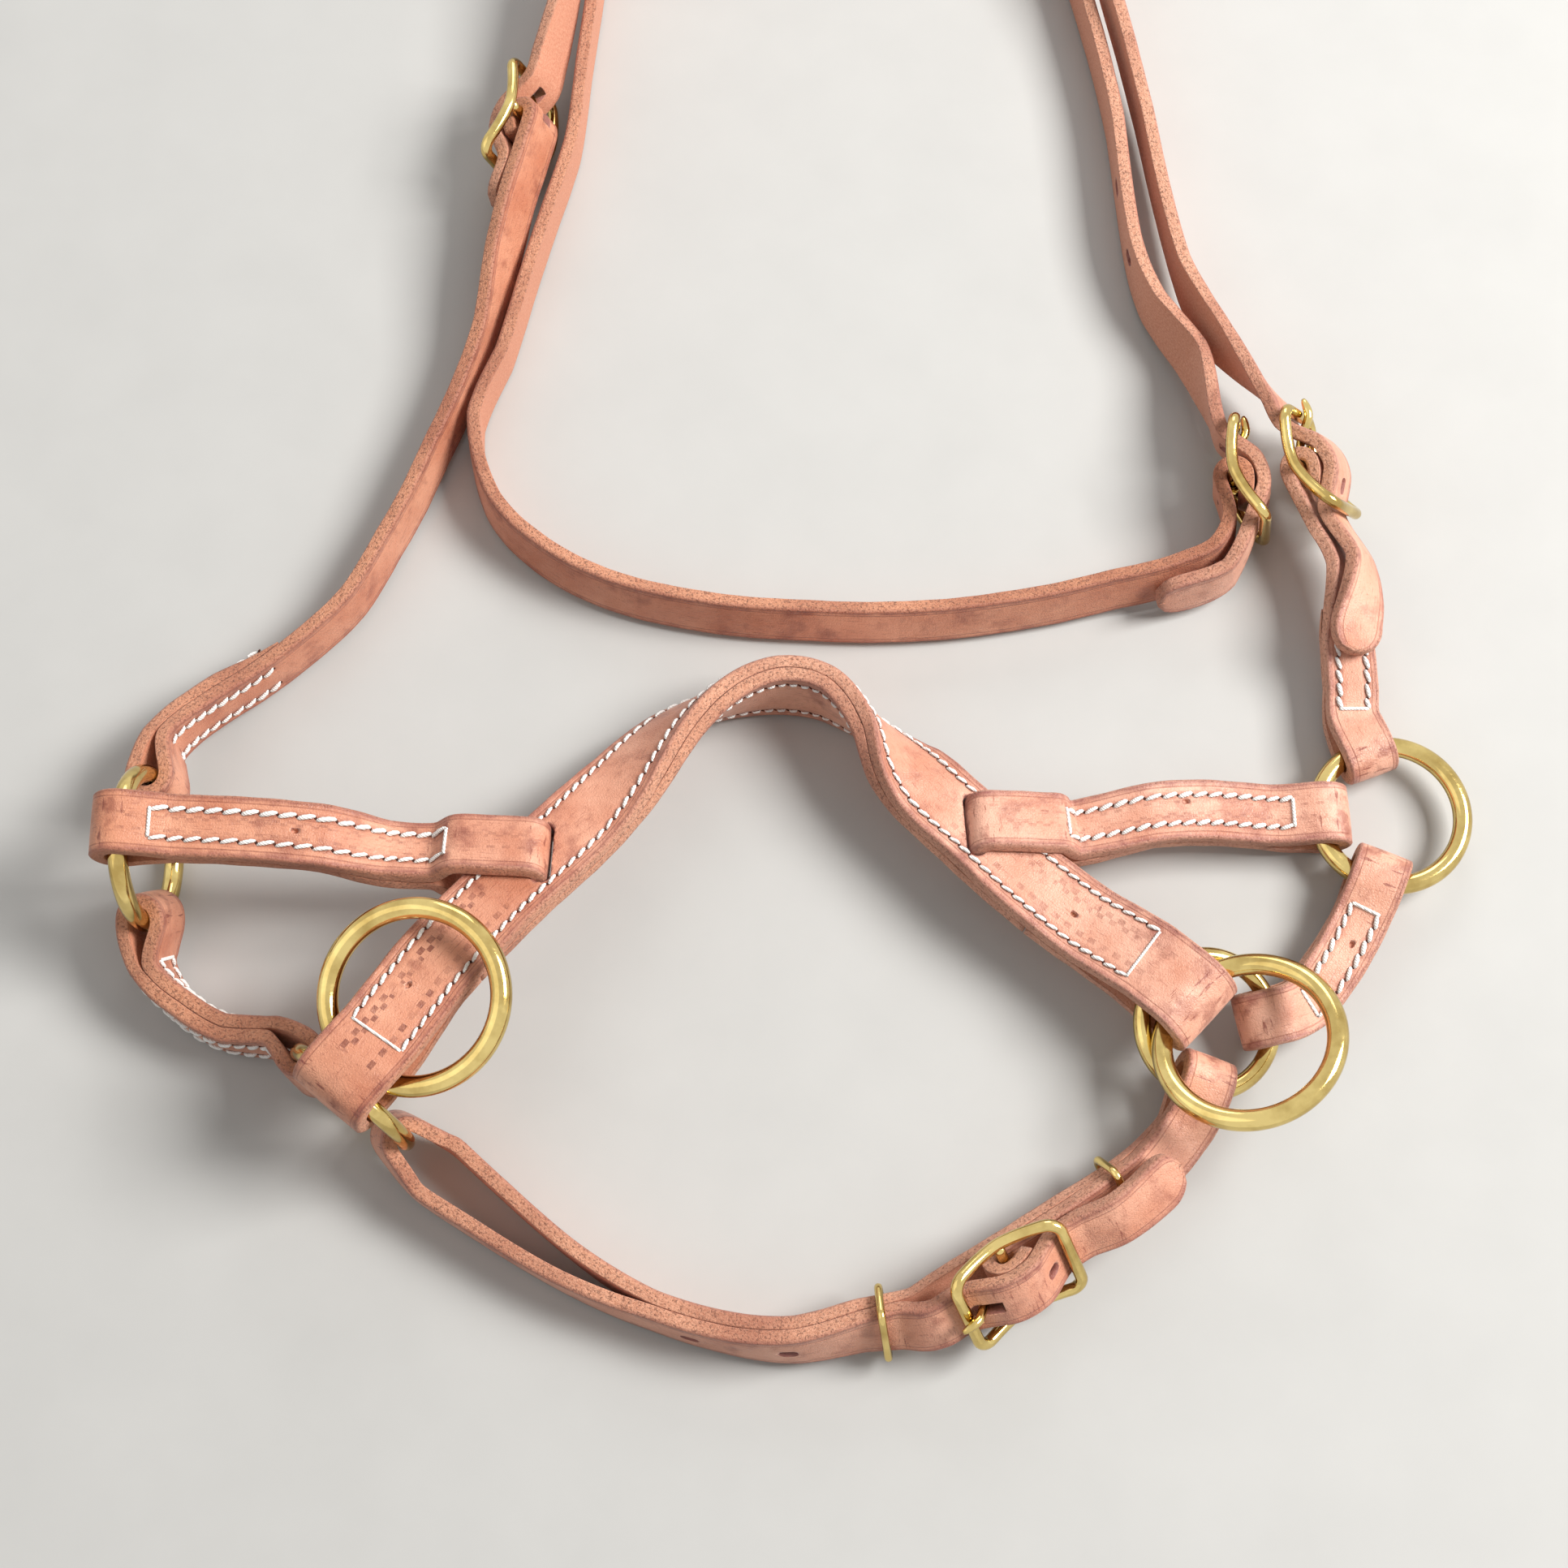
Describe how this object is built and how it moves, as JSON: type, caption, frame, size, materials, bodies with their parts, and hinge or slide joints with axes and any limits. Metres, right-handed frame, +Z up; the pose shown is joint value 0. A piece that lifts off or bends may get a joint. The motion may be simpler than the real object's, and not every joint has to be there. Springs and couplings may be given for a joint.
{
  "type": "sidepull headstall",
  "caption": "Bitless bridle of stitched leather straps and brass rings: noseband with rein rings, chin strap, cheek straps, throat lash and crown, laid out flat.",
  "frame": {"origin": "centre of the laid-out headstall, at the level it rests on", "axes": "+X to the right rein ring's side, +Y from the chin strap to the crown, +Z up from the table"},
  "size_m": [0.408, 0.5888, 0.0543],
  "materials": {
    "russet_leather": "semi-matt, oiled",
    "brass": "polished"
  },
  "bodies": {
    "headstall": {"noseband_outer": "russet_leather", "noseband_lining": "russet_leather", "left_connector": "russet_leather", "right_connector": "russet_leather", "left_diagonal": "russet_leather", "right_diagonal": "russet_leather", "left_cheek_strap": "russet_leather", "right_cheek_strap": "russet_leather", "crown_strap": "russet_leather", "chin_strap": "russet_leather", "left_cheek_buckle_frame": "brass", "right_cheek_buckle_frame": "brass", "throat_buckle_frame": "brass", "chin_buckle_frame": "brass"},
    "left_cheek_buckle_prong": {"left_cheek_buckle_prong": "brass"},
    "right_cheek_buckle_prong": {"right_cheek_buckle_prong": "brass"},
    "throat_buckle_prong": {"throat_buckle_prong": "brass"},
    "chin_buckle_prong": {"chin_buckle_prong": "brass"},
    "left_rein_ring": {"left_rein_ring": "brass"},
    "right_rein_ring": {"right_rein_ring": "brass"},
    "left_cheek_ring": {"left_cheek_ring": "brass"},
    "right_cheek_ring": {"right_cheek_ring": "brass"},
    "left_chin_ring": {"left_chin_ring": "brass"},
    "right_chin_ring": {"right_chin_ring": "brass"},
    "left_keeper": {"left_keeper": "brass"},
    "right_keeper": {"right_keeper": "brass"}
  },
  "joints": [
    {"name": "left_rein_ring_swing", "type": "hinge", "parent": "headstall", "child": "left_rein_ring", "pos_m": [-0.12432, -0.21576, 0.03892], "axis": [0.7828, -0.6222, 0], "range_deg": [0, 90]},
    {"name": "right_rein_ring_swing", "type": "hinge", "parent": "headstall", "child": "right_rein_ring", "pos_m": [0.11217, -0.19012, 0.01791], "axis": [-0.6728, -0.7398, 0], "range_deg": [-5, 60]},
    {"name": "left_cheek_ring_turn", "type": "hinge", "parent": "headstall", "child": "left_cheek_ring", "pos_m": [-0.19293, -0.14682, 0.02472], "axis": [0.989, 0, 0.1478], "continuous": true},
    {"name": "right_cheek_ring_turn", "type": "hinge", "parent": "headstall", "child": "right_cheek_ring", "pos_m": [0.17927, -0.13172, 0.00891], "axis": [0, 0, 1], "continuous": true},
    {"name": "left_chin_ring_turn", "type": "hinge", "parent": "headstall", "child": "left_chin_ring", "pos_m": [-0.12843, -0.22092, 0.02271], "axis": [-0.6222, -0.7828, 0], "continuous": true},
    {"name": "right_chin_ring_turn", "type": "hinge", "parent": "headstall", "child": "right_chin_ring", "pos_m": [0.11996, -0.19721, 0.01307], "axis": [0.179, -0.1628, 0.9703], "continuous": true},
    {"name": "left_cheek_buckle_prong_lift", "type": "hinge", "parent": "headstall", "child": "left_cheek_buckle_prong", "pos_m": [-0.08754, 0.10273, 0.01736], "axis": [-0.4404, 0.1103, 0.891], "range_deg": [0, 20]},
    {"name": "right_cheek_buckle_prong_lift", "type": "hinge", "parent": "headstall", "child": "right_cheek_buckle_prong", "pos_m": [0.15933, -0.02155, 0.01795], "axis": [0.4885, 0.2018, -0.8489], "range_deg": [0, 20]},
    {"name": "throat_buckle_prong_lift", "type": "hinge", "parent": "headstall", "child": "throat_buckle_prong", "pos_m": [0.13641, -0.02476, 0.01539], "axis": [0.1504, 0.0341, -0.988], "range_deg": [0, 20]},
    {"name": "chin_buckle_prong_lift", "type": "hinge", "parent": "headstall", "child": "chin_buckle_prong", "pos_m": [0.06007, -0.27131, 0.0174], "axis": [-0.3641, 0.5973, 0.7146], "range_deg": [0, 25]},
    {"name": "left_keeper_slide", "type": "slide", "parent": "headstall", "child": "left_keeper", "axis": [0.9892, 0.123, 0.0793], "range_m": [-0.004, 0.004]},
    {"name": "right_keeper_slide", "type": "slide", "parent": "headstall", "child": "right_keeper", "axis": [0.8418, 0.5365, -0.0593], "range_m": [-0.005, 0.005]}
  ]
}
